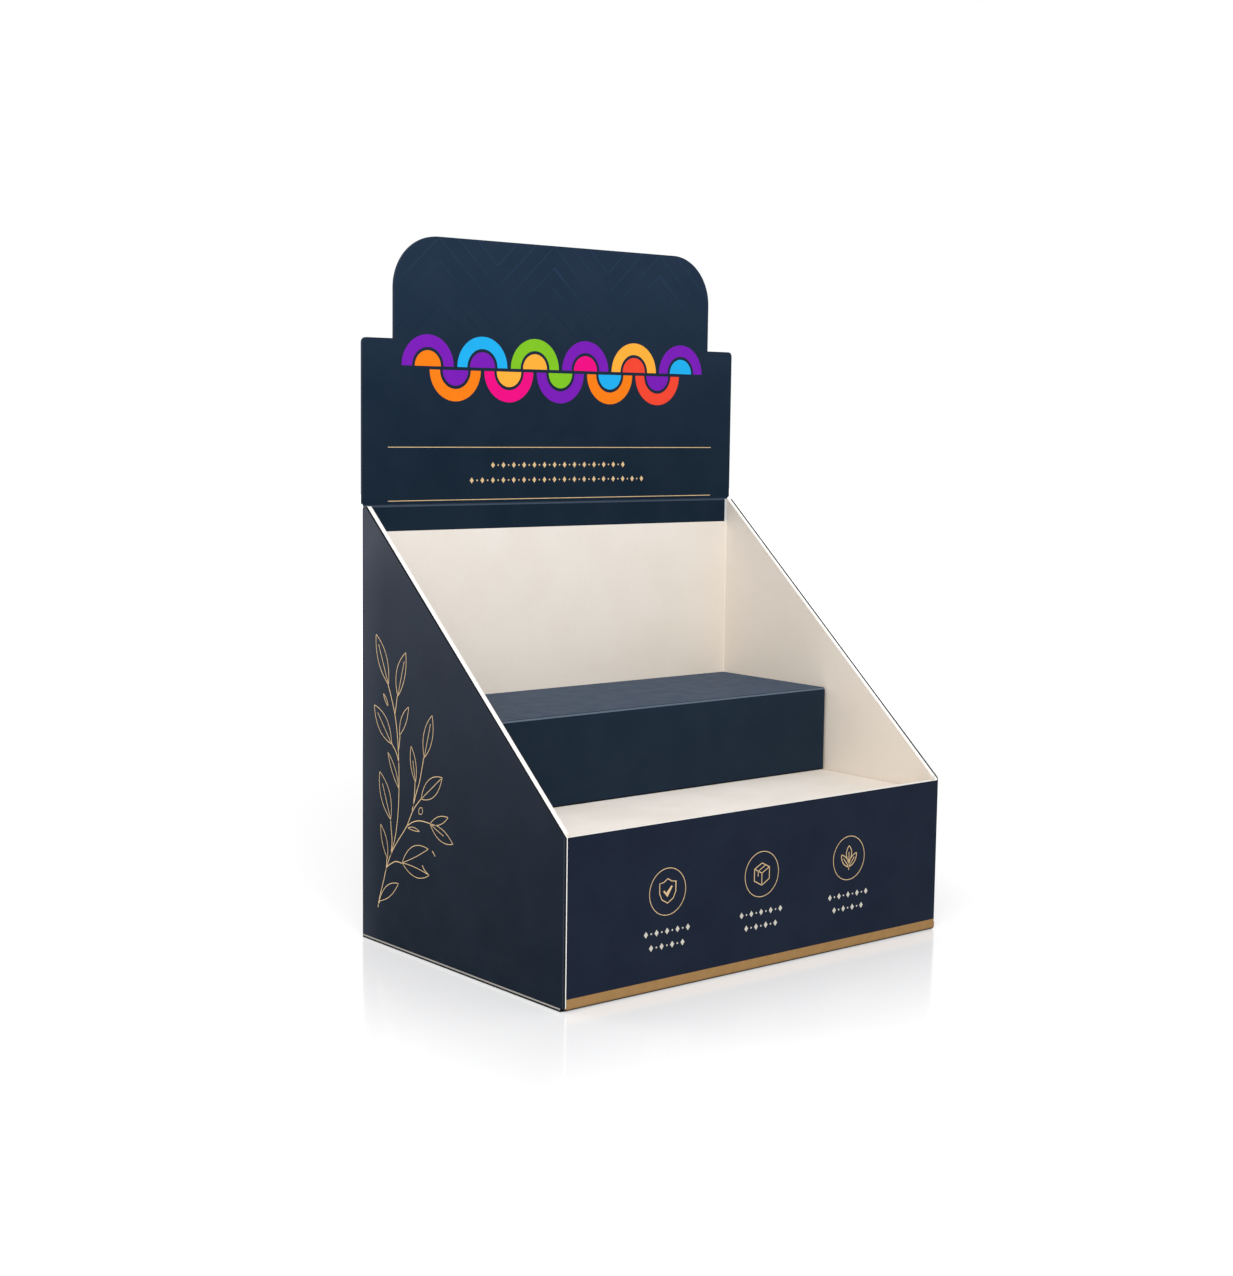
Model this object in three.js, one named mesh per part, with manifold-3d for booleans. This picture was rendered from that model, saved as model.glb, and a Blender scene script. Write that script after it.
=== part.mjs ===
// Counter display box of folded card: an outer shell with a header, a liner and two tiers for goods.
// Millimetres, +Z up. The origin is the middle of the base's underside and the front faces -Y.
import * as THREE from "three";
import { mergeVertices } from "three/addons/utils/BufferGeometryUtils.js";
import Module from "manifold-3d";

const wasm = await Module();
wasm.setup();

// Overall sizes of the box
const width = 300;
const depth = 202;
const frontHeight = 96;
const sideHeight = 265;
const sideTopFlat = 5;

// Header, measured up from the top of the side panels
const shoulderRise = 101;
const crownRise = 163.5;
const shoulderStep = 22.5;
const shoulderRadius = 3;
const crownRadius = 32;

// Card and folds
const shellBoard = 2;
const linerBoard = 2;
const tierBoard = 1.5;
const foldInner = 0.6;
const clearance = 0.3;
const seamGap = 0.4;

// Reliefs cut in the blank where folds end, and the crease at the header's foot
const cornerRelief = 2.5;
const frontRelief = 1.2;
const headerRelief = 1.5;
const creaseRadius = 0.7;
const creaseDepth = 0.4;

// Inside
const linerBackHeight = 249.5;
const lowerDeckHeight = 89.5;
const upperDeckHeight = 144.5;
const upperSetback = 96;

// Fineness of the curves
const foldSteps = 5;
const crownSteps = 24;
const roundSteps = 24;

// Plane directions: local X, Y and Z of a shape that is drawn flat and then extruded
const alongZ = new THREE.Matrix4();
const alongX = new THREE.Matrix4().makeBasis(
  new THREE.Vector3(0, 1, 0),
  new THREE.Vector3(0, 0, 1),
  new THREE.Vector3(1, 0, 0),
);
const alongY = new THREE.Matrix4().makeBasis(
  new THREE.Vector3(1, 0, 0),
  new THREE.Vector3(0, 0, 1),
  new THREE.Vector3(0, -1, 0),
);

// A closed three.js geometry as a solid that can be joined and cut
function solidOf(geometry) {
  geometry.deleteAttribute("normal");
  geometry.deleteAttribute("uv");
  const merged = mergeVertices(geometry, 1e-4);
  const mesh = new wasm.Mesh({
    numProp: 3,
    vertProperties: new Float32Array(merged.attributes.position.array),
    triVerts: new Uint32Array(merged.index.array),
  });
  return new wasm.Manifold(mesh);
}

function geometryOf(solid) {
  const mesh = solid.getMesh();
  const geometry = new THREE.BufferGeometry();
  geometry.setAttribute("position", new THREE.BufferAttribute(mesh.vertProperties, 3));
  geometry.setIndex(new THREE.BufferAttribute(mesh.triVerts, 1));
  geometry.computeVertexNormals();
  return geometry;
}

// A flat outline extruded from one level to another along the direction given by its plane
function extruded(points, plane, from, to) {
  const shape = new THREE.Shape(points);
  const geometry = new THREE.ExtrudeGeometry(shape, { depth: to - from, bevelEnabled: false });
  geometry.translate(0, 0, from);
  geometry.applyMatrix4(plane);
  return solidOf(geometry);
}

function block(x0, x1, y0, y1, z0, z1) {
  const geometry = new THREE.BoxGeometry(x1 - x0, y1 - y0, z1 - z0);
  geometry.translate((x0 + x1) / 2, (y0 + y1) / 2, (z0 + z1) / 2);
  return solidOf(geometry);
}

const at = (x, y) => new THREE.Vector2(x, y);

// Points of an arc between two angles in degrees
function arc(centre, radius, from, to, steps) {
  const points = [];
  for (let i = 0; i <= steps; i++) {
    const angle = THREE.MathUtils.degToRad(from + ((to - from) * i) / steps);
    points.push(at(centre.x + radius * Math.cos(angle), centre.y + radius * Math.sin(angle)));
  }
  return points;
}

// Outline of a folded board seen along its folds: the board lies on the left of the given outer line
function foldedBoard(outerLine, thickness) {
  const outer = [];
  const inner = [];
  const normalOf = (a, b) => at(a.y - b.y, b.x - a.x).normalize();
  outerLine.forEach((corner, i) => {
    const before = outerLine[i - 1];
    const after = outerLine[i + 1];
    if (!before || !after) {
      const normal = before ? normalOf(before, corner) : normalOf(corner, after);
      outer.push(corner.clone());
      inner.push(corner.clone().addScaledVector(normal, thickness));
      return;
    }
    const n0 = normalOf(before, corner);
    const n1 = normalOf(corner, after);
    const reach = thickness + foldInner;
    const centre = corner.clone().addScaledVector(n0, reach).addScaledVector(n1, reach);
    const start = THREE.MathUtils.radToDeg(Math.atan2(-n0.y, -n0.x));
    outer.push(...arc(centre, reach, start, start + 90, foldSteps));
    inner.push(...arc(centre, foldInner, start, start + 90, foldSteps));
  });
  return [...outer, ...inner.reverse()];
}

// Shared planes
const frontY = -depth / 2;
const backY = depth / 2;
const halfWidth = width / 2;
const insideHalfWidth = halfWidth - shellBoard;
const foldOuter = shellBoard + foldInner;
const sideBottom = shellBoard + clearance;

// The board of a box wall, seen from above: from the front wall's free end round to the left wall's front
function wallRing(halfWide, y0, y1, board) {
  return foldedBoard(
    [
      at(-halfWide + board + seamGap, y0),
      at(halfWide, y0),
      at(halfWide, y1),
      at(-halfWide, y1),
      at(-halfWide, y0),
    ],
    board,
  );
}

// The slanted outline of the walls, seen from the side, over the full width
function slantedWalls(lowerBack, back) {
  const outline = [
    at(frontY, sideBottom),
    ...lowerBack,
    at(back, sideHeight),
    at(backY - sideTopFlat, sideHeight),
    at(frontY, frontHeight),
  ];
  return extruded(outline, alongX, -halfWidth, halfWidth);
}

// What stands above the front wall's level top edge
function aboveFront(halfWide, y1) {
  return block(-halfWide, halfWide, frontY - shellBoard, y1, frontHeight, sideHeight);
}

function headerOutline() {
  const shoulderZ = sideHeight + shoulderRise;
  const crownZ = sideHeight + crownRise;
  const crownHalf = halfWidth - shoulderStep;
  const rightSide = [
    at(insideHalfWidth, sideHeight - creaseRadius),
    at(insideHalfWidth, sideHeight),
    at(halfWidth, sideHeight),
    ...arc(at(halfWidth - shoulderRadius, shoulderZ - shoulderRadius), shoulderRadius, 0, 90, foldSteps),
    at(crownHalf, shoulderZ),
    ...arc(at(crownHalf - crownRadius, crownZ - crownRadius), crownRadius, 0, 90, crownSteps),
  ];
  const leftSide = rightSide.map((p) => at(-p.x, p.y)).reverse();
  return [...rightSide, ...leftSide];
}

// A round bar along a plane's direction, for the cut of a relief or a crease
function bar(radius, length, plane, u, v, from) {
  const circle = arc(at(u, v), radius, 0, 360 - 360 / roundSteps, roundSteps - 1);
  return extruded(circle, plane, from, from + length);
}

function outerShell() {
  const ring = extruded(wallRing(halfWidth, frontY, backY, shellBoard), alongZ, 0, sideHeight);
  const backCorner = at(backY - cornerRelief, sideBottom + cornerRelief);
  const walls = ring
    .intersect(slantedWalls(arc(backCorner, cornerRelief, -90, 0, foldSteps), backY))
    .subtract(aboveFront(insideHalfWidth, frontY + foldOuter));

  // The base is folded back from the front panel's foot, and the other walls stand on it
  const footLine = [at(frontY, sideBottom + foldOuter), at(frontY, 0), at(frontY + 2 * foldOuter, 0)];
  const foot = extruded(
    foldedBoard(footLine, shellBoard),
    alongX,
    -insideHalfWidth + seamGap,
    halfWidth - frontRelief,
  );
  const baseHalf = halfWidth - cornerRelief;
  const baseOutline = [
    at(-halfWidth, frontY + foldOuter),
    at(halfWidth, frontY + foldOuter),
    ...arc(at(baseHalf, backY - cornerRelief), cornerRelief, 0, 90, foldSteps),
    ...arc(at(-baseHalf, backY - cornerRelief), cornerRelief, 90, 180, foldSteps),
  ];
  const base = extruded(baseOutline, alongZ, 0, shellBoard);

  const header = extruded(headerOutline(), alongY, -backY, -(backY - shellBoard));
  let shell = walls.add(foot).add(base).add(header);

  // Small round reliefs where the folds of the side panels end under the header
  for (const side of [-1, 1]) {
    const relief = bar(headerRelief, foldOuter, alongY, side * halfWidth, sideHeight, -backY);
    shell = shell.subtract(relief);
  }

  const creaseY = backY - shellBoard - creaseRadius + creaseDepth;
  const creaseHalf = insideHalfWidth - clearance - linerBoard;
  const crease = bar(creaseRadius, 2 * creaseHalf, alongX, creaseY, sideHeight, -creaseHalf);
  return shell.subtract(crease);
}

// The liner lies inside the shell's walls and stands on its base
const linerHalfWidth = insideHalfWidth - clearance;
const linerInsideHalf = linerHalfWidth - linerBoard;
const linerFrontY = frontY + shellBoard + clearance;
const linerBackY = backY - shellBoard - clearance;

function innerLiner() {
  const line = wallRing(linerHalfWidth, linerFrontY, linerBackY, linerBoard);
  const ring = extruded(line, alongZ, sideBottom, sideHeight);
  const aboveBack = block(
    -linerInsideHalf,
    linerInsideHalf,
    linerBackY - linerBoard - foldInner,
    backY,
    linerBackHeight,
    sideHeight,
  );
  return ring
    .intersect(slantedWalls([at(linerBackY, sideBottom)], linerBackY))
    .subtract(aboveFront(linerInsideHalf, linerFrontY + linerBoard + foldInner))
    .subtract(aboveBack);
}

// A tray turned upside down: a deck with four skirts folded down, their corners left open
function upturnedTray(halfWide, y0, y1, z0, z1) {
  const cornerGap = tierBoard + foldInner;
  const lengthwise = [at(y1, z0), at(y1, z1), at(y0, z1), at(y0, z0)];
  const crosswise = [at(halfWide, z0), at(halfWide, z1), at(-halfWide, z1), at(-halfWide, z0)];
  const frontToBack = extruded(
    foldedBoard(lengthwise, tierBoard),
    alongX,
    -halfWide + cornerGap,
    halfWide - cornerGap,
  );
  const sideToSide = extruded(
    foldedBoard(crosswise, tierBoard),
    alongY,
    -(y1 - cornerGap),
    -(y0 + cornerGap),
  );
  return frontToBack.add(sideToSide);
}

const tierHalfWidth = linerInsideHalf - clearance;
const tierFrontY = linerFrontY + linerBoard + clearance;
const tierBackY = linerBackY - linerBoard - clearance;

function lowerTier() {
  return upturnedTray(tierHalfWidth, tierFrontY, tierBackY, shellBoard + clearance, lowerDeckHeight);
}

function upperTier() {
  return upturnedTray(
    tierHalfWidth,
    frontY + upperSetback,
    tierBackY,
    lowerDeckHeight + clearance,
    upperDeckHeight,
  );
}

function cardPiece(name, solid, colour) {
  const material = new THREE.MeshStandardMaterial({ color: colour, roughness: 0.7, metalness: 0 });
  const mesh = new THREE.Mesh(geometryOf(solid), material);
  mesh.name = name;
  return mesh;
}

const navy = 0x1f2d42;
const cream = 0xe6dccf;

const displayBox = new THREE.Group();
displayBox.add(cardPiece("outer_shell", outerShell(), navy));
displayBox.add(cardPiece("inner_liner", innerLiner(), cream));
displayBox.add(cardPiece("lower_tier", lowerTier(), cream));
displayBox.add(cardPiece("upper_tier", upperTier(), navy));

export default displayBox;
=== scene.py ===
import math

import bmesh
import bpy
from mathutils import Matrix, Vector

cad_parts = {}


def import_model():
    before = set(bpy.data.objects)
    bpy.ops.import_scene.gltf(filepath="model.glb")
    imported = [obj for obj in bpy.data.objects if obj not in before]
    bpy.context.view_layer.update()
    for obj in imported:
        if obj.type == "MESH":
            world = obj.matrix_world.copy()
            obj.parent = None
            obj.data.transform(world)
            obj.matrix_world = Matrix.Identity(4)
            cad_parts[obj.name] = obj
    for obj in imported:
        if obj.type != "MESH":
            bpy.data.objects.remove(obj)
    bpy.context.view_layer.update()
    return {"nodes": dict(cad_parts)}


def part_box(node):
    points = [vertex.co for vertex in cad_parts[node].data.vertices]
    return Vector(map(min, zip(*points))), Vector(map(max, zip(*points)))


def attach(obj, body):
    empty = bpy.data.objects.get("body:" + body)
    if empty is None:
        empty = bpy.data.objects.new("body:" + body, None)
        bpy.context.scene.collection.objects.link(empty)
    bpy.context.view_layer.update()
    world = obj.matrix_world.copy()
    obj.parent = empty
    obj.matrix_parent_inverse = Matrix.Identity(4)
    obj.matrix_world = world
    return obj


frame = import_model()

# A counter display box of folded card. +Z up, the front faces -Y. Places on the box are in metres. Print is
# drawn in millimetres on its panel and raised by the thickness of a foil.

MM = 0.001

# Card and panels, worked out from the solids
SHELL_LOW, SHELL_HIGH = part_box("outer_shell")
LINER_LOW, LINER_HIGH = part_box("inner_liner")
STEP_LOW, STEP_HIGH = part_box("upper_tier")
CREASE_HEIGHT = LINER_HIGH.z
LINER_BACK_TOP = CREASE_HEIGHT - 15.5 * MM
GLUE_GAP = 0.3 * MM
BOARD = LINER_LOW.x - SHELL_LOW.x - GLUE_GAP
FOLD_RADIUS = BOARD + 0.6 * MM
FRONT_FACE = SHELL_LOW.y
LEFT_FACE = SHELL_LOW.x
HEADER_FACE = SHELL_HIGH.y - BOARD

# Outline of the walls and the header in millimetres, for what is drawn along it
FRONT_TOP = 96
SIDE_TOP_FLAT = 5
HEADER_TOP = SHELL_HIGH.z / MM
CROWN_HALF = 127.5
CROWN_RADIUS = 32

# Camera, as worked out from the corners of the box in the photograph: metres, degrees, lens in millimetres
CAMERA_PLACE = (-0.8000, -0.9261, 0.3196)
CAMERA_TURN = 39.66
CAMERA_DIP = 6.27
CAMERA_ROLL = 0.75
CAMERA_LENS = 56.38
CAMERA_SENSOR = 36

# Floor, world and lamps
WHITE = (1, 1, 1, 1)
FLOOR_REACH = 6.0
FLOOR_DROP = 0.05 * MM
FLOOR_COLOUR = (0.7, 0.7, 0.707, 1)
FLOOR_GLOW = 0.395
SHADOW_REACH = (0.45, 0.95)
GLOSS_REACH = 0.23
GLOSS_SHARE = 0.25
GLOSS_ROUGHNESS = 0.13
WORLD_LIGHT = 0.64
LAMP_AIM = (0, 0, 0.2)
LAMPS = {
    "above_front": {"place": (-1.0, -1.35, 1.45), "width": 1.8, "height": 1.4, "power": 34},
    "back_left": {"place": (-1.25, 1.75, 0.75), "width": 1.2, "height": 1.2, "power": 10},
}

# Colours of card and print, sRGB 0 to 255. Some are painted light: sheen, highlights, shade and bounce
# light
NAVY_TOP = (31, 46, 64)
NAVY_LOW = (20, 34, 48)
NAVY_FRONT = (26, 33, 48)
NAVY_SIDE_LOW = (18, 28, 40)
NAVY_SIDE_SHEEN = (66, 71, 82)
NAVY_STEP = (21, 34, 46)
NAVY_EDGE_AND_SHADOW = (9, 13, 20)
NAVY_MOTTLE_AND_HIGHLIGHT = (84, 96, 114)
NAVY_STEP_HIGHLIGHT = (94, 106, 119)
NAVY_SHEEN = (130, 152, 186)
CREAM = (235, 228, 220)
CREAM_DECK_LIT = (250, 244, 238)
CREAM_CLOUD_AND_SHADE = (224, 213, 199)
CREAM_WARM_BOUNCE = (244, 231, 212)
CREAM_FIBRE = (216, 204, 189)
CORE = (246, 246, 243)
CORE_LAYER = (232, 232, 228)
BASE_EDGE_SHADED = (158, 154, 148)
GOLD = (160, 125, 82)
GOLD_SHADE = (146, 113, 71)
GOLD_LINE = (215, 185, 140)
DOTS_PALE = (202, 198, 187)
CHEVRON = (39, 56, 80)
CHEVRON_FADED = (25, 41, 60)
PURPLE = (118, 30, 176)
BLUE = (34, 170, 232)
GREEN = (124, 190, 38)
AMBER = (250, 172, 60)
ORANGE = (242, 124, 24)
MAGENTA = (232, 16, 128)
RED = (236, 70, 50)

# Surface patterns: scale and detail of their noise
CLOUDS = (28, 4)
MOTTLE = (38, 4)
PRINT_SHINE = (90, 3)
PAPER_SHINE = (120, 3)
INK_TONE = (150, 3)
BAND_TONE = (160, 3)
FOIL_TONE = (240, 3)
FOIL_SHINE = (400, 2)
FIBRES = (700, 3)
CORE_LAYERS = (900, 3)

# The ranges of noise that count, and how the fibres are stretched
NOISE_LOW = 0.3
NOISE_HIGH = 0.7
FIBRES_SEEN = (0.55, 0.75)
FIBRES_UP = (1, 1, 0.35)

# Fine bumps: pattern, depth and strength
CORE_TOOTH = ((1500, 3), 0.05 * MM, 0.5)
PAPER_TOOTH = ((1900, 4), 0.03 * MM, 0.6)
PRINT_TOOTH = ((2600, 3), 0.012 * MM, 0.5)

# Roughness, as one value or from the shiniest to the dullest spots
PRINT_ROUGHNESS = (0.40, 0.48)
STEP_ROUGHNESS = (0.42, 0.5)
FOIL_ROUGHNESS = (0.38, 0.5)
PAPER_ROUGHNESS = (0.68, 0.8)
INK_ROUGHNESS = 0.5
CORE_ROUGHNESS = 0.85
WRAPPED_ROUGHNESS = 0.8
SHEEN_ROUGHNESS = 0.45

# Specular level, and the strength of the step's sheen and of the foil's metal
MATT_PRINT = 0.02
MATT_PAPER = 0.3
MATT_FOIL = 0.3
WRAPPED_EDGE = 0.2
STEP_SHEEN = 0.39
FOIL_METAL = 0.5

# Shares of one colour in another, and how much darker the darkest spots of foil and ink are
FOIL_UNEVEN = 0.22
FOIL_DARKEST = 0.82
INK_UNEVEN = 0.12
INK_DARKEST = 0.85
BAND_SHADED = (0.25, 0.65)
MOTTLE_SHARE = 0.03
CLOUD_SHARE = 0.3
FIBRE_SHARE = 0.14
LAYER_SHARE = 0.35
CREASE_HIGHLIGHT = 0.5
FOLD_HIGHLIGHT = 0.2
STEP_FOLD_HIGHLIGHT = 0.85
STEP_RIM_SHADOW = 0.8

# How the navy changes: up the header; painted sheen up the side panels, near their top and toward their
# back edge
HEADER_RISE = 1.3
SIDE_RISE = 1.6
SIDE_SHEEN = 0.62
SIDE_TOP_START = 0.8
SIDE_TOP_SHEEN = 0.38
SIDE_BACK_START = 0.7
SIDE_BACK_SHEEN = 0.3

# Where across the liner the painted shade on the cream starts, as a share of its right half
SHADE_START = 0.2

# Widths of painted highlights and shadows, of wrapped and printed strips, and the depth to which a face's
# print is taken
FACE_SKIN = 0.5 * MM
CREASE_SKIN = 0.2 * MM
CREASE_HIGHLIGHT_DOWN = 0.8 * MM
CREASE_HIGHLIGHT_UP = 0.7 * MM
FOLD_HIGHLIGHT_WIDTH = 0.9 * MM
STEP_HIGHLIGHT_WIDTH = 1.15 * MM
STEP_RIM = 0.9 * MM
FACE_WRAP = 1.4 * MM
FRONT_WRAP = 0.4 * MM
LINER_WRAP = 0.6 * MM
BAND_FOOT = 1.2 * MM
BAND_TOP = 7.0 * MM
BASE_FACE = 1.1 * MM
CHEVRONS_GONE = 58 * MM
CHEVRONS_CLEAR = 6 * MM

# Thickness of print: how far it stands proud of its panel, and how far it is let in
FOIL = 0.06 * MM
SUNK = 0.02 * MM


def linear(rgb):
    """An sRGB colour as the linear values that a shader takes."""
    values = []
    for part in rgb:
        part /= 255
        values.append(part / 12.92 if part <= 0.04045 else ((part + 0.055) / 1.055) ** 2.4)
    return (*values, 1.0)


def darker(rgb, share):
    return tuple(share * part for part in rgb)


class Nodes:
    """Short calls for the nodes of a material or a world."""

    def __init__(self, tree):
        self.nodes = tree.nodes
        self.links = tree.links

    def set(self, socket, value):
        """Puts a value or another node's output into a socket."""
        if isinstance(value, bpy.types.NodeSocket):
            self.links.new(value, socket)
        else:
            socket.default_value = value

    def node(self, kind, *values):
        """The output of a new node with its first sockets filled."""
        node = self.nodes.new(kind)
        for socket, value in zip(node.inputs, values):
            self.set(socket, value)
        return node.outputs[0]

    def math(self, operation, a, b=0.0, clamp=False):
        node = self.nodes.new("ShaderNodeMath")
        node.operation = operation
        node.use_clamp = clamp
        self.set(node.inputs[0], a)
        self.set(node.inputs[1], b)
        return node.outputs[0]

    def size(self, value):
        return self.math("ABSOLUTE", value)

    def above(self, value, limit):
        """1 where the value lies above the limit, else 0."""
        return self.math("GREATER_THAN", value, limit)

    def below(self, value, limit):
        """1 where the value lies below the limit, else 0."""
        return self.math("LESS_THAN", value, limit)

    def both(self, a, b):
        return self.math("MULTIPLY", a, b)

    def either(self, a, b):
        return self.math("MAXIMUM", a, b)

    def ramp(self, value, low, high, at_low=0.0, at_high=1.0):
        """A smooth change from one value to another between two limits."""
        node = self.nodes.new("ShaderNodeMapRange")
        node.interpolation_type = "SMOOTHSTEP"
        for socket, setting in zip(node.inputs[:5], (value, low, high, at_low, at_high)):
            self.set(socket, setting)
        return node.outputs[0]

    def mix(self, share, a, b):
        """Colour a with a share of colour b in it."""
        node = self.nodes.new("ShaderNodeMix")
        node.data_type = "RGBA"
        self.set(node.inputs["Factor"], share)
        self.set(node.inputs[6], a)
        self.set(node.inputs[7], b)
        return node.outputs[2]

    def shows_backdrop(self):
        """1 for what is seen directly, in a reflection or through something clear, else 0."""
        seen = self.nodes.new("ShaderNodeLightPath").outputs
        direct_or_mirrored = self.either(seen["Is Camera Ray"], seen["Is Glossy Ray"])
        return self.either(direct_or_mirrored, seen["Is Transmission Ray"])


class Shader(Nodes):
    """A new material, patterned by place on the object."""

    def __init__(self, name):
        self.material = bpy.data.materials.new(name)
        self.material.use_nodes = True
        super().__init__(self.material.node_tree)
        self.surface = self.nodes["Principled BSDF"]
        self.place = self.nodes.new("ShaderNodeTexCoord").outputs["Object"]
        axes = self.nodes.new("ShaderNodeSeparateXYZ")
        self.links.new(self.place, axes.inputs[0])
        self.x, self.y, self.z = axes.outputs

    def noise(self, pattern, stretch=(1, 1, 1)):
        scale, detail = pattern
        mapping = self.nodes.new("ShaderNodeMapping")
        mapping.inputs["Scale"].default_value = stretch
        self.links.new(self.place, mapping.inputs["Vector"])
        node = self.nodes.new("ShaderNodeTexNoise")
        node.inputs["Scale"].default_value = scale
        node.inputs["Detail"].default_value = detail
        self.links.new(mapping.outputs[0], node.inputs["Vector"])
        return node.outputs["Fac"]

    def uneven(self, pattern, low, high):
        """A value that wanders softly between two limits over the surface."""
        return self.ramp(self.noise(pattern), NOISE_LOW, NOISE_HIGH, low, high)

    def tooth(self, pattern, depth, strength):
        """Fine bumps in the surface."""
        node = self.nodes.new("ShaderNodeBump")
        node.inputs["Strength"].default_value = strength
        node.inputs["Distance"].default_value = depth
        self.links.new(self.noise(pattern), node.inputs["Height"])
        self.links.new(node.outputs[0], self.surface.inputs["Normal"])

    def finish(self, colour, roughness, metallic=0.0, specular=0.5):
        self.set(self.surface.inputs["Base Color"], colour)
        self.set(self.surface.inputs["Roughness"], roughness)
        self.surface.inputs["Metallic"].default_value = metallic
        self.surface.inputs["Specular IOR Level"].default_value = specular
        return self.material


# Navy print

def side_painted_sheen(s):
    """The side panels' navy with a painted sheen, lighter toward their top and their back edge."""
    climb = s.math("POWER", s.math("DIVIDE", s.z, CREASE_HEIGHT), SIDE_RISE)
    near_top = s.ramp(s.z, SIDE_TOP_START * CREASE_HEIGHT, CREASE_HEIGHT, 0.0, SIDE_TOP_SHEEN)
    near_back = s.ramp(s.y, SIDE_BACK_START * SHELL_HIGH.y, SHELL_HIGH.y, 0.0, SIDE_BACK_SHEEN)
    sheen = s.math("ADD", s.both(climb, SIDE_SHEEN), near_top)
    sheen = s.math("ADD", sheen, near_back, clamp=True)
    return s.mix(sheen, linear(NAVY_SIDE_LOW), linear(NAVY_SIDE_SHEEN))


def painted_fold_highlights(s):
    """Share of painted highlight on the header's crease and on the upright folds at the corners."""
    over = s.above(s.z, CREASE_HEIGHT - CREASE_HIGHLIGHT_DOWN)
    under = s.below(s.z, CREASE_HEIGHT + CREASE_HIGHLIGHT_UP)
    crease = s.both(s.both(over, under), s.above(s.y, HEADER_FACE - CREASE_SKIN))
    fold_x = s.above(s.size(s.x), SHELL_HIGH.x - FOLD_HIGHLIGHT_WIDTH)
    fold_y = s.above(s.size(s.y), SHELL_HIGH.y - FOLD_HIGHLIGHT_WIDTH)
    return s.either(s.both(crease, CREASE_HIGHLIGHT), s.both(s.both(fold_x, fold_y), FOLD_HIGHLIGHT))


def gold_band(s):
    """1 on the band along the front panel's foot, else 0."""
    level = s.both(s.above(s.z, BAND_FOOT), s.below(s.z, BAND_TOP))
    on_front = s.both(s.below(s.y, FRONT_FACE + FOLD_RADIUS), s.above(s.x, LEFT_FACE + BOARD))
    return s.both(level, on_front)


def navy_print():
    """Soft-touch navy print, faintly mottled, lighter up the header, with a gold band at the front foot."""
    s = Shader("navy_print")
    rise = s.math("POWER", s.ramp(s.z, CREASE_HEIGHT, SHELL_HIGH.z), HEADER_RISE)
    colour = s.mix(rise, linear(NAVY_LOW), linear(NAVY_TOP))
    colour = s.mix(s.below(s.y, FRONT_FACE + BOARD), colour, linear(NAVY_FRONT))
    side = s.both(s.above(s.size(s.x), SHELL_HIGH.x - FACE_SKIN), s.below(s.z, CREASE_HEIGHT))
    # Painted sheen on the side panels.
    colour = s.mix(side, colour, side_painted_sheen(s))
    colour = s.mix(s.uneven(MOTTLE, 0.0, MOTTLE_SHARE), colour, linear(NAVY_MOTTLE_AND_HIGHLIGHT))
    # Painted highlights along the header's crease and the upright corner folds.
    colour = s.mix(painted_fold_highlights(s), colour, linear(NAVY_MOTTLE_AND_HIGHLIGHT))
    band_tone = s.mix(s.uneven(BAND_TONE, *BAND_SHADED), linear(GOLD), linear(GOLD_SHADE))
    colour = s.mix(gold_band(s), colour, band_tone)
    # Painted contact shadow: a dark line along the foot of every panel, under the gold band.
    colour = s.mix(s.below(s.z, BAND_FOOT), colour, linear(NAVY_EDGE_AND_SHADOW))
    s.tooth(*PRINT_TOOTH)
    return s.finish(colour, s.uneven(PRINT_SHINE, *PRINT_ROUGHNESS), specular=MATT_PRINT)


def navy_step():
    """The same print on the step, with a velvet sheen and a painted highlight along its top front fold."""
    s = Shader("navy_step")
    colour = s.mix(s.uneven(MOTTLE, 0.0, MOTTLE_SHARE), linear(NAVY_STEP), linear(NAVY_MOTTLE_AND_HIGHLIGHT))
    # Painted highlight along the step's top front fold.
    fold = s.both(s.below(s.y, STEP_LOW.y + STEP_HIGHLIGHT_WIDTH), s.above(s.z, STEP_HIGH.z - STEP_HIGHLIGHT_WIDTH))
    colour = s.mix(s.both(fold, STEP_FOLD_HIGHLIGHT), colour, linear(NAVY_STEP_HIGHLIGHT))
    # Painted shadow: the step's side and bottom rims darkened, where it meets the walls and the deck.
    rim = s.either(s.above(s.size(s.x), STEP_HIGH.x - STEP_RIM), s.below(s.z, STEP_LOW.z + STEP_RIM))
    colour = s.mix(s.both(rim, STEP_RIM_SHADOW), colour, linear(NAVY_EDGE_AND_SHADOW))
    s.surface.inputs["Sheen Weight"].default_value = STEP_SHEEN
    s.surface.inputs["Sheen Roughness"].default_value = SHEEN_ROUGHNESS
    s.surface.inputs["Sheen Tint"].default_value = linear(NAVY_SHEEN)
    s.tooth(*PRINT_TOOTH)
    return s.finish(colour, s.uneven(PRINT_SHINE, *STEP_ROUGHNESS), specular=MATT_PRINT)


# Cream paper and white board

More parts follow.
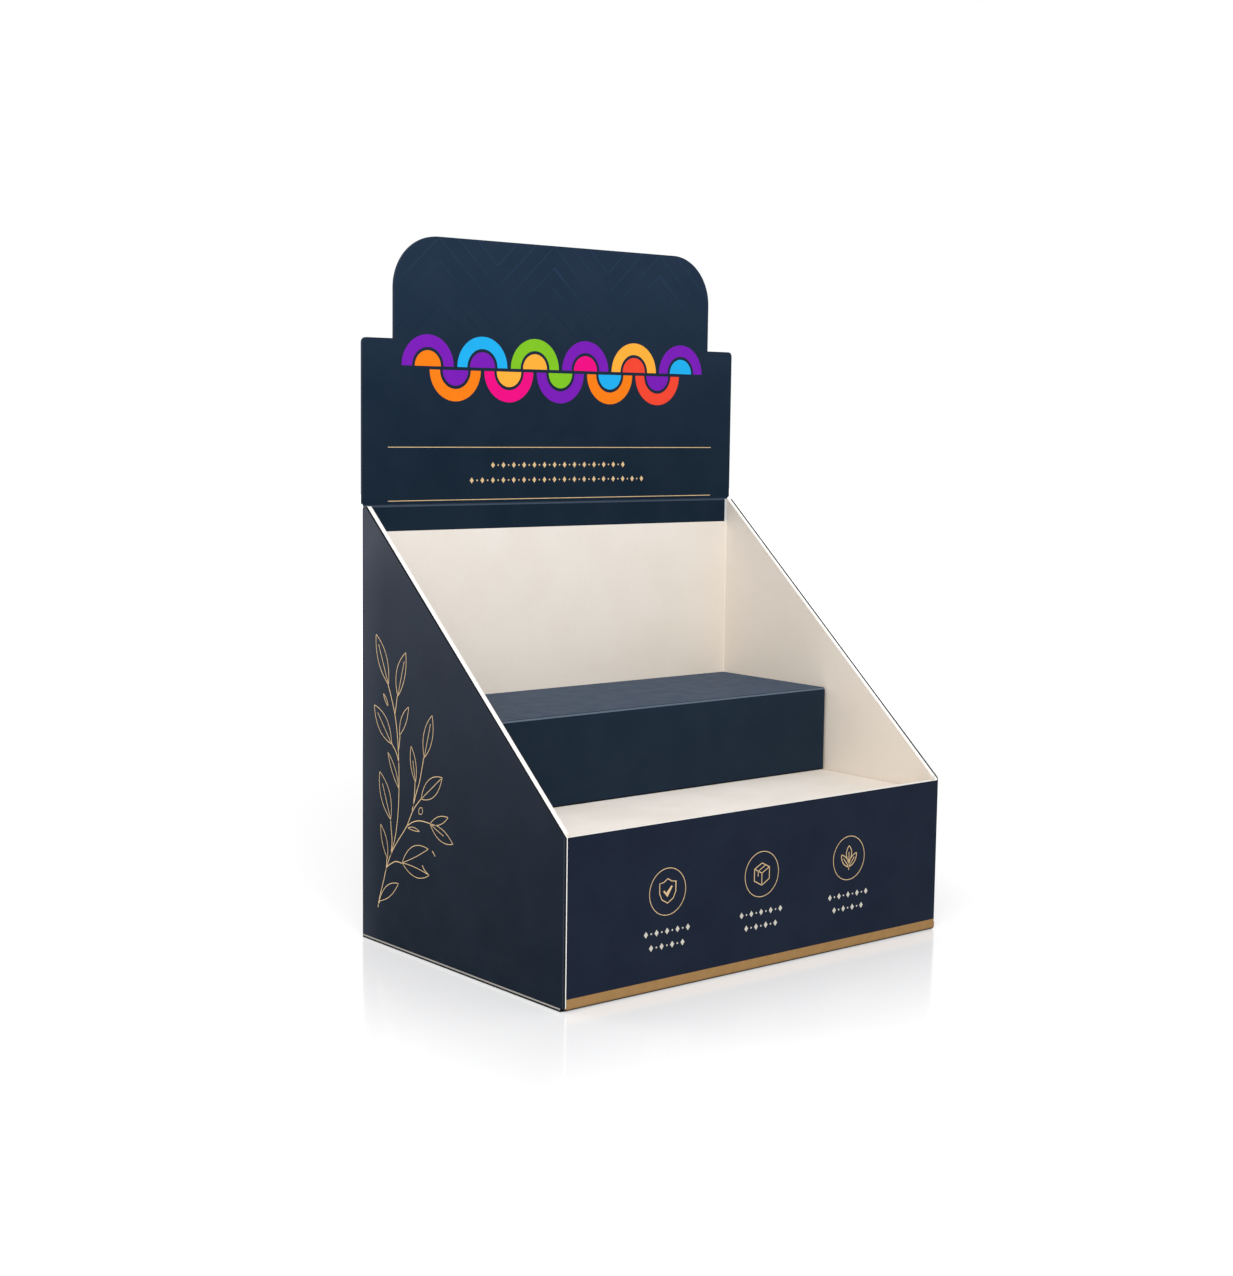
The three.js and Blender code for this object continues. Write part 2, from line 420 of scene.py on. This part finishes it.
def cream_paper(name, rgb, warm_bounce, painted_shade):
    """Uncoated cream face paper with faint clouds, fibres and a fine tooth, white where the back wall is
    cut. It takes on painted warm bounce light low down and painted shade toward the right, by the two
    shares given."""
    s = Shader(name)
    colour = s.mix(s.uneven(CLOUDS, 0.0, CLOUD_SHARE), linear(rgb), linear(CREAM_CLOUD_AND_SHADE))
    # Painted warm bounce light, strongest low down.
    colour = s.mix(s.ramp(s.z, STEP_LOW.z, LINER_BACK_TOP, warm_bounce, 0.0), colour, linear(CREAM_WARM_BOUNCE))
    # Painted shade, deepening toward the right.
    shade_to_right = s.ramp(s.x, SHADE_START * LINER_HIGH.x, LINER_HIGH.x, 0.0, painted_shade)
    colour = s.mix(shade_to_right, colour, linear(CREAM_CLOUD_AND_SHADE))
    fibres = s.ramp(s.noise(FIBRES, FIBRES_UP), *FIBRES_SEEN, 0.0, FIBRE_SHARE)
    colour = s.mix(fibres, colour, linear(CREAM_FIBRE))
    cut = s.both(s.above(s.z, LINER_BACK_TOP), s.above(s.y, LINER_HIGH.y - FOLD_RADIUS))
    colour = s.mix(cut, colour, linear(CORE))
    s.tooth(*PAPER_TOOTH)
    return s.finish(colour, s.uneven(PAPER_SHINE, *PAPER_ROUGHNESS), specular=MATT_PAPER)


def core_colour(s):
    """White board, faintly layered."""
    return s.mix(s.uneven(CORE_LAYERS, 0.0, LAYER_SHARE), linear(CORE), linear(CORE_LAYER))


def raw_core():
    """Cut edge of white board."""
    s = Shader("raw_core")
    s.tooth(*CORE_TOOTH)
    return s.finish(core_colour(s), CORE_ROUGHNESS, specular=MATT_PAPER)


def liner_core():
    """Cut edge of the liner: white, with the cream face paper showing along its inner side."""
    s = Shader("liner_core")
    inner = s.below(s.size(s.x), LINER_HIGH.x - BOARD + LINER_WRAP)
    colour = s.mix(inner, core_colour(s), linear(CREAM))
    s.tooth(*CORE_TOOTH)
    return s.finish(colour, CORE_ROUGHNESS, specular=MATT_PAPER)


def wrapped_core():
    """Cut edge of the shell's board: white, with the printed paper turned over its outer side in navy
    darkened as painted shade. The base's edge is greyed by painted shade, and dark along the bottom as
    turned paper and painted shadow."""
    s = Shader("wrapped_core")
    outer_side = s.above(s.size(s.x), SHELL_HIGH.x - FACE_WRAP)
    outer_front = s.both(s.below(s.y, FRONT_FACE + FRONT_WRAP), s.above(s.x, LEFT_FACE + BOARD))
    on_walls = s.above(s.z, BOARD + GLUE_GAP)
    wrapped = s.both(s.either(outer_side, outer_front), on_walls)
    # The base's edge greyed as painted shade.
    board = s.mix(s.below(s.z, BOARD), core_colour(s), linear(BASE_EDGE_SHADED))
    # Turned paper in the darkest navy as painted shade, and the bottom of the base's edge as painted
    # shadow.
    colour = s.mix(s.either(wrapped, s.below(s.z, BASE_FACE)), board, linear(NAVY_EDGE_AND_SHADOW))
    s.tooth(*CORE_TOOTH)
    return s.finish(colour, WRAPPED_ROUGHNESS, specular=WRAPPED_EDGE)


# Foil and inks

def foil(name, rgb):
    """Matt metallic foil: soft, slightly uneven."""
    s = Shader(name)
    colour = s.mix(s.uneven(FOIL_TONE, 0.0, FOIL_UNEVEN), linear(rgb), linear(darker(rgb, FOIL_DARKEST)))
    roughness = s.uneven(FOIL_SHINE, *FOIL_ROUGHNESS)
    return s.finish(colour, roughness, metallic=FOIL_METAL, specular=MATT_FOIL)


def ink(name, rgb):
    """Flat printed ink with a faint unevenness."""
    s = Shader(name)
    colour = s.mix(s.uneven(INK_TONE, 0.0, INK_UNEVEN), linear(rgb), linear(darker(rgb, INK_DARKEST)))
    return s.finish(colour, INK_ROUGHNESS, specular=MATT_PRINT)


def chevron_ink():
    """Tone on tone lines that fade out down the header."""
    s = Shader("chevron_ink")
    shown = s.ramp(s.z, SHELL_HIGH.z - CHEVRONS_GONE, SHELL_HIGH.z - CHEVRONS_CLEAR)
    colour = s.mix(shown, linear(CHEVRON_FADED), linear(CHEVRON))
    return s.finish(colour, INK_ROUGHNESS, specular=MATT_PRINT)


# Card nodes: a slot for the faces and one for the cut edges, and soft narrow edges

FACING = 0.9
LEANING = 0.3
EDGE_ROUND = 0.2 * MM
EDGE_ANGLE = 40


def is_core_of_shell(centre, normal):
    """Slanted and level top edges, the seam at the front left, the base's edge and the unprinted inside."""
    if centre.z > CREASE_HEIGHT + MM:
        return False
    if centre.y > HEADER_FACE - MM and abs(centre.x) < LINER_HIGH.x:
        return False
    if centre.z < SHELL_LOW.z + BOARD:
        behind_fold = centre.y > FRONT_FACE + FOLD_RADIUS
        return abs(normal.z) < LEANING and (behind_fold or abs(normal.x) > FACING)
    top_edge = normal.z > LEANING
    front_inside = normal.y > FACING and centre.y < LINER_LOW.y
    seam = normal.y < -FACING and centre.x < LEFT_FACE + BOARD
    sides_inside = abs(normal.x) > FACING and normal.x * centre.x < 0
    return top_edge or front_inside or seam or sides_inside


def is_core_of_liner(centre, normal):
    """The top edges, slanted or level, and the bottom edges."""
    return normal.z > LEANING or normal.z < -FACING


def is_core_of_tier(centre, normal):
    """The bottom edges of the skirts, and the underside of the deck."""
    return normal.z < -FACING


def dress(node, face_material, core_material, is_core):
    """Gives a card node its two materials, and rounds its edges a little."""
    card = frame["nodes"][node]
    mesh = card.data
    mesh.materials.clear()
    mesh.materials.append(face_material)
    mesh.materials.append(core_material)
    for face in mesh.polygons:
        face.material_index = int(is_core(face.center, face.normal))
    weld = card.modifiers.new("weld", "WELD")
    weld.merge_threshold = 0.001 * MM
    bevel = card.modifiers.new("bevel", "BEVEL")
    bevel.width = EDGE_ROUND
    bevel.segments = 2
    bevel.limit_method = "ANGLE"
    bevel.angle_limit = math.radians(EDGE_ANGLE)


# Drawing on panels

class Panel:
    """A flat upright face that print lies on, with its own direction across and the way it faces."""

    def __init__(self, origin, across, outward):
        self.origin = Vector(origin)
        self.across = Vector(across)
        self.outward = Vector(outward)

    def at(self, u, v, raised):
        """The place of a point drawn u across and v up in millimetres, raised off the panel in metres."""
        return self.origin + u * MM * self.across + Vector((0, 0, v * MM)) + raised * self.outward


HEADER = Panel((0, HEADER_FACE, 0), across=(1, 0, 0), outward=(0, -1, 0))
FRONT = Panel((0, FRONT_FACE, 0), across=(1, 0, 0), outward=(0, -1, 0))
LEFT = Panel((LEFT_FACE, 0, 0), across=(0, 1, 0), outward=(-1, 0, 0))
LEFT_GAP = Panel((LEFT_FACE + BOARD, 0, 0), across=(0, 1, 0), outward=(1, 0, 0))
RIGHT_GAP = Panel((SHELL_HIGH.x - BOARD, 0, 0), across=(0, 1, 0), outward=(-1, 0, 0))
FRONT_GAP = Panel((0, FRONT_FACE + BOARD, 0), across=(1, 0, 0), outward=(0, 1, 0))

# How sharp a corner of a drawn line may be before its mitre is cut short
MITRE_LIMIT = 0.4


class Print:
    """Flat shapes on one panel, gathered into one thin mesh."""

    def __init__(self, name, panel, material, rise=FOIL, sunk=SUNK):
        self.name = name
        self.panel = panel
        self.material = material
        self.rise = rise
        self.sunk = sunk
        self.mesh = bmesh.new()

    def corner(self, point, raised):
        return self.mesh.verts.new(self.panel.at(point[0], point[1], raised))

    def area(self, outline):
        """A filled outline that stands proud of the panel."""
        flat = bmesh.new()
        corners = [flat.verts.new((u, v, 0)) for u, v in outline]
        rim = [flat.edges.new((corners[i - 1], corners[i])) for i in range(len(corners))]
        bmesh.ops.triangle_fill(flat, use_beauty=True, use_dissolve=False, edges=rim)
        top = {v: self.corner(v.co, self.rise) for v in flat.verts}
        under = {v: self.corner(v.co, -self.sunk) for v in flat.verts}
        for face in flat.faces:
            self.mesh.faces.new([top[v] for v in face.verts])
            self.mesh.faces.new([under[v] for v in face.verts][::-1])
        for edge in rim:
            a, b = edge.verts
            self.mesh.faces.new((top[a], top[b], under[b], under[a]))
        flat.free()

    def line(self, points, thickness, closed=False):
        """A drawn line of even thickness through the points, as a ribbon."""
        count = len(points)
        rings = []
        for i, point in enumerate(points):
            here = Vector(point)
            before = Vector(points[i - 1]) if closed or i else here
            after = Vector(points[(i + 1) % count]) if closed or i < count - 1 else here
            ahead = (after - before).normalized()
            reach = thickness / 2
            if before != here and after != here:
                reach /= max(MITRE_LIMIT, (here - before).normalized().dot(ahead))
            across = Vector((-ahead.y, ahead.x)) * reach
            left = here + across
            right = here - across
            sides = ((left, self.rise), (right, self.rise), (right, -self.sunk), (left, -self.sunk))
            rings.append([self.corner(side, raised) for side, raised in sides])
        pairs = list(zip(rings, rings[1:]))
        if closed:
            pairs.append((rings[-1], rings[0]))
        else:
            self.mesh.faces.new(rings[0][::-1])
            self.mesh.faces.new(rings[-1])
        for near, far in pairs:
            for i in range(4):
                j = (i + 1) % 4
                self.mesh.faces.new((near[i], near[j], far[j], far[i]))

    def place(self, slot="navy_card"):
        """Puts the print into the scene, where it moves with the box."""
        bmesh.ops.recalc_face_normals(self.mesh, faces=self.mesh.faces)
        data = bpy.data.meshes.new(self.name)
        self.mesh.to_mesh(data)
        self.mesh.free()
        data.materials.append(self.material)
        piece = bpy.data.objects.new(self.name, data)
        bpy.context.scene.collection.objects.link(piece)
        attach(piece, "root")


def arc(cu, cv, radius, start, end, steps):
    """Points of an arc between two angles in degrees."""
    points = []
    for i in range(steps + 1):
        angle = math.radians(start + (end - start) * i / steps)
        points.append((cu + radius * math.cos(angle), cv + radius * math.sin(angle)))
    return points


def disc(cu, cv, radius, steps):
    return arc(cu, cv, radius, 0, 360 - 360 / steps, steps - 1)


def moved(points, cu, cv):
    return [(cu + u, cv + v) for u, v in points]


def between(a, b, c, d, t):
    """A coordinate on the smooth curve from b to c, at the share t of the way, given its neighbours too."""
    bend = 2 * a - 5 * b + 4 * c - d
    twist = 3 * b - a - 3 * c + d
    return 0.5 * (2 * b + (c - a) * t + bend * t**2 + twist * t**3)


def smooth(points, steps=6):
    """A smooth curve through given points."""
    curve = []
    ends = [points[0], *points, points[-1]]
    for stretch in zip(ends, ends[1:], ends[2:], ends[3:]):
        for i in range(steps):
            curve.append(tuple(between(*line, i / steps) for line in zip(*stretch)))
    return [*curve, points[-1]]


# Glue in the gap between the shell and the liner

GLUE_DEEP = 5.0
GLUE_BELOW_EDGE = 0.15
GLUE_BACK_END = 3.0


def glue_lines(material):
    """Glue that fills the narrow gap between the shell and the liner along their top edges."""
    front = FRONT_FACE / MM
    top_end = SHELL_HIGH.y / MM - SIDE_TOP_FLAT
    steepness = (CREASE_HEIGHT / MM - FRONT_TOP) / (top_end - front)
    level = FRONT_TOP - GLUE_BELOW_EDGE
    low = front + BOARD / MM
    high = LINER_HIGH.y / MM - GLUE_BACK_END
    low_top = level + steepness * (low - front)
    high_top = level + steepness * (high - front)
    outline = [(low, low_top), (low, low_top - GLUE_DEEP), (high, high_top - GLUE_DEEP), (high, high_top)]
    for name, panel in (("left", LEFT_GAP), ("right", RIGHT_GAP)):
        strip = Print("glue_line_" + name, panel, material, GLUE_GAP, 0.0)
        strip.area(outline)
        strip.place("cream_card")
    strip = Print("glue_line_front", FRONT_GAP, material, GLUE_GAP, 0.0)
    half = (LINER_HIGH.x - FOLD_RADIUS) / MM
    strip.area([(-half, level), (-half, level - GLUE_DEEP), (half, level - GLUE_DEEP), (half, level)])
    strip.place("cream_card")


# Rows of lozenges and dots

LOZENGE_WIDE = 1.5
LOZENGE_TALL = 1.9
DOT_RADIUS = 0.55
DOT_STEPS = 12


def lozenge_row(drawn, centre, height, count, pitch):
    """A row of small lozenges, every other one a dot."""
    lozenge = [(-LOZENGE_WIDE, 0), (0, -LOZENGE_TALL), (LOZENGE_WIDE, 0), (0, LOZENGE_TALL)]
    for i in range(count):
        across = centre + pitch * (i - (count - 1) / 2)
        if i % 2:
            drawn.area(disc(across, height, DOT_RADIUS, DOT_STEPS))
        else:
            drawn.area(moved(lozenge, across, height))


# Header print: rules and rows, zigzags on the crown, and a border of half discs

RULE_HALF = 132
RULE_HEIGHTS = (300.5, 267.8)
RULE_THICKNESS = 0.44
HEADER_ROWS = ((289.3, 27), (279.8, 35))
HEADER_ROW_PITCH = 4.1


def header_rules(gold):
    """Two thin rules with two rows of lozenges between them."""
    rules = Print("header_rules", HEADER, gold)
    for height in RULE_HEIGHTS:
        rules.line([(-RULE_HALF, height), (RULE_HALF, height)], RULE_THICKNESS)
    for height, count in HEADER_ROWS:
        lozenge_row(rules, 0, height, count, HEADER_ROW_PITCH)
    rules.place()


CHEVRON_PITCH = 89.0
CHEVRON_SHIFT = -6.0
CHEVRON_PEAK = 428.0
CHEVRON_GAP = 13.5
CHEVRON_SLOPE = 0.93
CHEVRON_LINE = 0.6
CHEVRON_FOOT = 371
CHEVRON_ROWS = range(-3, 5)
CHEVRON_STEPS = 510
CHEVRON_TURN = 0.1
EDGE_MARGIN = 0.6


def chevron_height(u, row):
    """Height of a zigzag row at a place across the header."""
    half = CHEVRON_PITCH / 2
    from_peak = abs((u - CHEVRON_SHIFT + half) % CHEVRON_PITCH - half)
    return CHEVRON_PEAK - CHEVRON_GAP * row - CHEVRON_SLOPE * from_peak


def crown_height(u):
    """Height of the header's rounded top at a place across it."""
    beyond = abs(u) - (CROWN_HALF - CROWN_RADIUS)
    if beyond <= 0:
        return HEADER_TOP
    return HEADER_TOP - CROWN_RADIUS + math.sqrt(max(0.0, CROWN_RADIUS**2 - beyond**2))


def chevron_runs(row):
    """The stretches of one zigzag row that lie on the crown, as closely spaced points."""
    half = CROWN_HALF - EDGE_MARGIN
    runs = [[]]
    for i in range(CHEVRON_STEPS + 1):
        u = half * (2 * i / CHEVRON_STEPS - 1)
        v = chevron_height(u, row)
        if CHEVRON_FOOT < v < crown_height(u) - EDGE_MARGIN:
            runs[-1].append((u, v))
        else:
            runs.append([])
    return [run for run in runs if len(run) > 1]


def slope(a, b):
    return (b[1] - a[1]) / (b[0] - a[0])


def ends_and_turns(run):
    """The ends of a zigzag and the points at which it turns."""
    triples = zip(run, run[1:], run[2:])
    turns = [b for a, b, c in triples if abs(slope(a, b) - slope(b, c)) > CHEVRON_TURN]
    return [run[0], *turns, run[-1]]


def header_chevrons():
    """Nested zigzags across the header's crown, cut by its outline."""
    lines = Print("header_chevrons", HEADER, chevron_ink())
    for row in CHEVRON_ROWS:
        for run in chevron_runs(row):
            lines.line(ends_and_turns(run), CHEVRON_LINE)
    lines.place()


INKS = {
    "purple": PURPLE,
    "blue": BLUE,
    "green": GREEN,
    "amber": AMBER,
    "orange": ORANGE,
    "magenta": MAGENTA,
    "red": RED,
}
SCALLOPS_ABOVE = (
    ("purple", "orange"),
    ("blue", "purple"),
    ("green", "amber"),
    ("purple", "magenta"),
    ("amber", "red"),
    ("purple", "blue"),
)
SCALLOPS_BELOW = (
    ("orange", "purple"),
    ("magenta", "amber"),
    ("purple", "green"),
    ("orange", "blue"),
    ("red", "purple"),
)
SCALLOP_RADIUS = 19.2
SCALLOP_RING = 11.6
SCALLOP_INNER = 9.6
SCALLOP_PITCH = 41.2
SCALLOP_HEIGHT = 349.0
SCALLOP_GAP = 2.0
SCALLOP_STEPS = 32
SCALLOP_INNER_STEPS = 24


def header_ornament():
    """A border of half discs in bright inks, six above and five below, each with a smaller one inside."""
    shapes = {colour: [] for colour in INKS}
    for row, start, gap in ((SCALLOPS_ABOVE, 0, SCALLOP_GAP), (SCALLOPS_BELOW, 180, -SCALLOP_GAP)):
        height = SCALLOP_HEIGHT + gap / 2
        for i, (outer, inner) in enumerate(row):
            across = SCALLOP_PITCH * (i - (len(row) - 1) / 2)
            end = start + 180
            ring = arc(across, height, SCALLOP_RADIUS, start, end, SCALLOP_STEPS)
            ring += arc(across, height, SCALLOP_RING, end, start, SCALLOP_INNER_STEPS)
            shapes[outer].append(ring)
            shapes[inner].append(arc(across, height, SCALLOP_INNER, start, end, SCALLOP_INNER_STEPS))
    for colour, outlines in shapes.items():
        drawn = Print("header_ornament_" + colour, HEADER, ink("ink_" + colour, INKS[colour]))
        for outline in outlines:
            drawn.area(outline)
        drawn.place()


# Leaves, as the sprig and the sprout have them

LEAF_STEPS = 14


def leaf_side(base, tip, swell):
    """One side of a leaf from its base to its pointed tip. The swell is a share of the leaf's length."""
    start = Vector(base)
    along = Vector(tip) - start
    across = Vector((-along.y, along.x))
    side = []
    for i in range(LEAF_STEPS + 1):
        t = i / LEAF_STEPS
        bulge = 4 * t * (1 - t)
        side.append(tuple(start + along * t + across * swell * bulge))
    return side


def draw_leaf(drawn, base, tip, swells, thickness, vein):
    """A leaf in outline, with a vein that reaches a share of the way to its tip."""
    for swell in swells:
        drawn.line(leaf_side(base, tip, swell), thickness)
    if vein:
        drawn.line([base, tuple(Vector(base).lerp(Vector(tip), vein))], thickness)


# Front print: three signs in rings, with rows of lozenges under them

SIGNS_ACROSS = (-76.3, -3.5, 69.3)
SIGN_HEIGHT = 56.6
RING_RADIUS = 13.4
RING_LINE = 0.42
RING_STEPS = 72
THIN = 0.54
BEAD_ROWS = ((34.0, 9), (25.8, 7))
BEAD_ROW_PITCH = 3.9

SHIELD_RIGHT = [(0, 7.4), (3, 5.6), (6, 5.2), (6, -0.5), (4.2, -4.2), (0, -6.6)]
TICK = [(-2.9, 0.6), (-0.6, -1.9), (3.2, 2.9)]
CARTON_TOP = [(0, 6.6), (6, 3.6), (0, 0.6), (-6, 3.6)]
CARTON_SIDES = [(-6, 3.6), (-6, -3.4), (0, -6.6), (6, -3.4), (6, 3.6)]
CARTON_CORNER = [(0, 0.6), (0, -6.6)]
CARTON_TAPE = [(3.0, 5.1), (-3.0, 2.1), (-3.0, -1.0)]
SPROUT_STALK = [(0, -7.4), (0, -1.5)]
SPROUT_LEAVES = (
    ((0, -2.0), (0, 7.6), 0.24, 0.6),
    ((0, -5.6), (-6.6, 2.6), 0.19, 0.7),
    ((0, -5.6), (6.6, 2.6), 0.19, 0.7),
)


def shield(drawn, cu, cv):
    """A shield with a tick."""
    left = [(-u, v) for u, v in SHIELD_RIGHT[-2:0:-1]]
    drawn.line(moved(SHIELD_RIGHT + left, cu, cv), THIN, closed=True)
    drawn.line(moved(TICK, cu, cv), 2 * THIN)


def carton(drawn, cu, cv):
    """A small closed carton seen from a corner."""
    drawn.line(moved(CARTON_TOP, cu, cv), THIN, closed=True)
    for stroke in (CARTON_SIDES, CARTON_CORNER, CARTON_TAPE):
        drawn.line(moved(stroke, cu, cv), THIN)


def sprout(drawn, cu, cv):
    """An upright leaf on a stalk, between two that lean outward."""
    drawn.line(moved(SPROUT_STALK, cu, cv), THIN)
    for base, tip, swell, vein in SPROUT_LEAVES:
        placed = moved([base, tip], cu, cv)
        draw_leaf(drawn, *placed, (swell, -swell), THIN, vein)


def front_medallions(gold, pale):
    rings = Print("front_medallions", FRONT, gold)
    for across, sign in zip(SIGNS_ACROSS, (shield, carton, sprout)):
        rings.line(disc(across, SIGN_HEIGHT, RING_RADIUS, RING_STEPS), RING_LINE, closed=True)
        sign(rings, across, SIGN_HEIGHT)
    rings.place()
    beads = Print("front_beads", FRONT, pale)
    for across in SIGNS_ACROSS:
        for height, count in BEAD_ROWS:
            lozenge_row(beads, across, height, count, BEAD_ROW_PITCH)
    beads.place()


# Sprig on the left side panel: stems as points, and leaves as base, tip, the swell of each side and the
# vein's share. The first number of a point runs back, the second up.

STEMS = (
    ((82, 22), (80, 29), (76, 39), (73, 47), (68, 57), (61, 66), (51, 77), (44, 88), (36, 96)),
    ((68, 57), (63, 69), (60, 84), (59, 102), (60, 124), (63, 141), (68, 154), (71, 160)),
    ((63.5, 143), (62, 149), (61, 154)),
    ((59, 114), (62, 120), (67, 125)),
    ((59.5, 122), (58.5, 127), (58, 131)),
    ((45, 88), (41, 98), (37, 107), (33, 121)),
    ((44, 90), (42.5, 98), (42, 106)),
    ((67.5, 58), (66.5, 66), (67.5, 73), (68, 78)),
    ((73, 47), (72.5, 50), (72, 55)),
    ((50.5, 77.5), (44, 81), (36, 83), (26, 83)),
    ((72, 49), (67, 52), (62, 54), (56, 54)),
    ((81.5, 24), (80, 26)),
    ((24, 67), (22.5, 66), (21, 64.4)),
    ((34.2, 56.7), (31.5, 54), (27, 52)),
)
LEAVES = (
    ((70.5, 160), (84, 189), (0.16, -0.14), 0.8),
    ((60.5, 154), (52, 181), (0.12, -0.20), 0.8),
    ((67, 124.5), (86, 146), (0.19, -0.18), 0.8),
    ((58.5, 131), (49, 149), (0.11, -0.16), 0.0),
    ((71, 147), (76, 154), (0.13, -0.09), 0.0),
    ((59.5, 99), (71, 119), (0.10, -0.07), 0.0),
    ((32.5, 121), (24.5, 147), (0.16, -0.17), 0.8),
    ((41.5, 105), (46.2, 126), (0.13, -0.13), 0.6),
    ((68, 78.5), (80, 106), (0.18, -0.16), 0.75),
    ((71.5, 54), (79, 74), (0.15, -0.10), 0.0),
    ((35.7, 96), (14, 112), (0.19, -0.20), 0.95),
    ((26.4, 82.7), (8, 89.5), (0.12, -0.12), 0.0),
    ((26.4, 82.7), (3, 74.7), (0.17, -0.12), 0.6),
    ((38, 87), (34.5, 91), (0.42, -0.30), 0.0),
    ((49.5, 76.6), (37.2, 76.4), (0.04, -0.11), 0.0),
    ((55.6, 54.4), (28, 67.5), (0.02, -0.19), 0.0),
    ((55.6, 54.4), (27, 52), (0.17, -0.03), 0.0),
    ((80.6, 26.3), (59.5, 41), (0.10, -0.16), 0.0),
)
STEM_LINE = 0.52
LEAF_LINE = 0.38


def side_sprig(gold):
    sprig = Print("side_sprig", LEFT, gold)
    for stem in STEMS:
        sprig.line(smooth(stem), STEM_LINE)
    for base, tip, swells, vein in LEAVES:
        draw_leaf(sprig, base, tip, swells, LEAF_LINE, vein)
    sprig.place()


# Stage

def camera():
    """A camera that stands and looks as the photograph's did."""
    turn = math.radians(CAMERA_TURN)
    dip = math.radians(CAMERA_DIP)
    roll = math.radians(CAMERA_ROLL)
    ahead = Vector((math.sin(turn) * math.cos(dip), math.cos(turn) * math.cos(dip), -math.sin(dip)))
    level = Vector((math.cos(turn), -math.sin(turn), 0))
    upward = level.cross(ahead)
    right = level * math.cos(roll) + upward * math.sin(roll)
    up = upward * math.cos(roll) - level * math.sin(roll)
    data = bpy.data.cameras.new("camera")
    data.lens = CAMERA_LENS
    data.sensor_width = CAMERA_SENSOR
    data.clip_end = 50
    eye = bpy.data.objects.new("camera", data)
    eye.matrix_world = Matrix.Translation(CAMERA_PLACE) @ Matrix((right, up, -ahead)).transposed().to_4x4()
    bpy.context.scene.collection.objects.link(eye)
    bpy.context.scene.camera = eye


def floor_material():
    """Matt white that keeps the object's shadow, with a faint reflection close to the object. Further out
    it runs into the white backdrop."""
    s = Shader("floor_white")
    s.nodes.remove(s.surface)
    bright = s.shows_backdrop()

    # How far a spot on the floor lies outside the footprint
    out_x = s.math("SUBTRACT", s.size(s.x), SHELL_HIGH.x)
    out_y = s.math("SUBTRACT", s.size(s.y), SHELL_HIGH.y)
    outside = s.either(s.either(out_x, out_y), 0.0)

    matt = s.node("ShaderNodeBsdfDiffuse", FLOOR_COLOUR)
    glow = s.node("ShaderNodeEmission", WHITE, s.both(bright, FLOOR_GLOW))
    near = s.node("ShaderNodeAddShader", matt, glow)
    gloss = s.node("ShaderNodeBsdfGlossy", WHITE, GLOSS_ROUGHNESS)
    gloss_share = s.ramp(outside, 0.0, GLOSS_REACH, GLOSS_SHARE, 0.0)
    polished = s.node("ShaderNodeMixShader", gloss_share, near, gloss)

    backdrop = s.node("ShaderNodeEmission", WHITE, bright)
    far = s.node("ShaderNodeAddShader", matt, backdrop)
    surface = s.node("ShaderNodeMixShader", s.ramp(outside, *SHADOW_REACH), polished, far)
    s.links.new(surface, s.nodes["Material Output"].inputs[0])
    return s.material


def floor():
    """A wide studio floor just under the box."""
    mesh = bpy.data.meshes.new("floor")
    reach = FLOOR_REACH
    corners = [(-reach, -reach, 0), (reach, -reach, 0), (reach, reach, 0), (-reach, reach, 0)]
    mesh.from_pydata(corners, [], [(0, 1, 2, 3)])
    mesh.materials.append(floor_material())
    plane = bpy.data.objects.new("floor", mesh)
    plane.location.z = -FLOOR_DROP
    bpy.context.scene.collection.objects.link(plane)


def world():
    """White to the camera and in reflections, and a plain soft light on the object."""
    sky = bpy.data.worlds.new("studio")
    bpy.context.scene.world = sky
    sky.use_nodes = True
    n = Nodes(sky.node_tree)
    background = n.nodes["Background"]
    background.inputs["Color"].default_value = WHITE
    n.set(background.inputs["Strength"], n.either(n.shows_backdrop(), WORLD_LIGHT))


def softbox(name, place, width, height, power):
    """A lamp with a broad face, turned toward the box."""
    data = bpy.data.lights.new(name, "AREA")
    data.shape = "RECTANGLE"
    data.size = width
    data.size_y = height
    data.energy = power
    lamp = bpy.data.objects.new(name, data)
    lamp.location = place
    lamp.rotation_euler = (Vector(LAMP_AIM) - Vector(place)).to_track_quat("-Z", "Y").to_euler()
    bpy.context.scene.collection.objects.link(lamp)


camera()
card_core = raw_core()
card_cream = cream_paper("cream_paper", CREAM, warm_bounce=0.45, painted_shade=0.35)
# The deck's cream is painted brighter than the liner's, as painted light.
card_deck = cream_paper("cream_deck", CREAM_DECK_LIT, warm_bounce=0.1, painted_shade=0.5)
dress("outer_shell", navy_print(), wrapped_core(), is_core_of_shell)
dress("inner_liner", card_cream, liner_core(), is_core_of_liner)
dress("lower_tier", card_deck, card_core, is_core_of_tier)
dress("upper_tier", navy_step(), card_core, is_core_of_tier)
glue_lines(card_core)

gold_line = foil("gold_line", GOLD_LINE)
header_rules(gold_line)
header_chevrons()
header_ornament()
front_medallions(gold_line, ink("pale_ink", DOTS_PALE))
side_sprig(gold_line)

floor()
world()
for lamp_name, lamp_settings in LAMPS.items():
    softbox(lamp_name, **lamp_settings)
bpy.context.scene.view_settings.view_transform = "Standard"
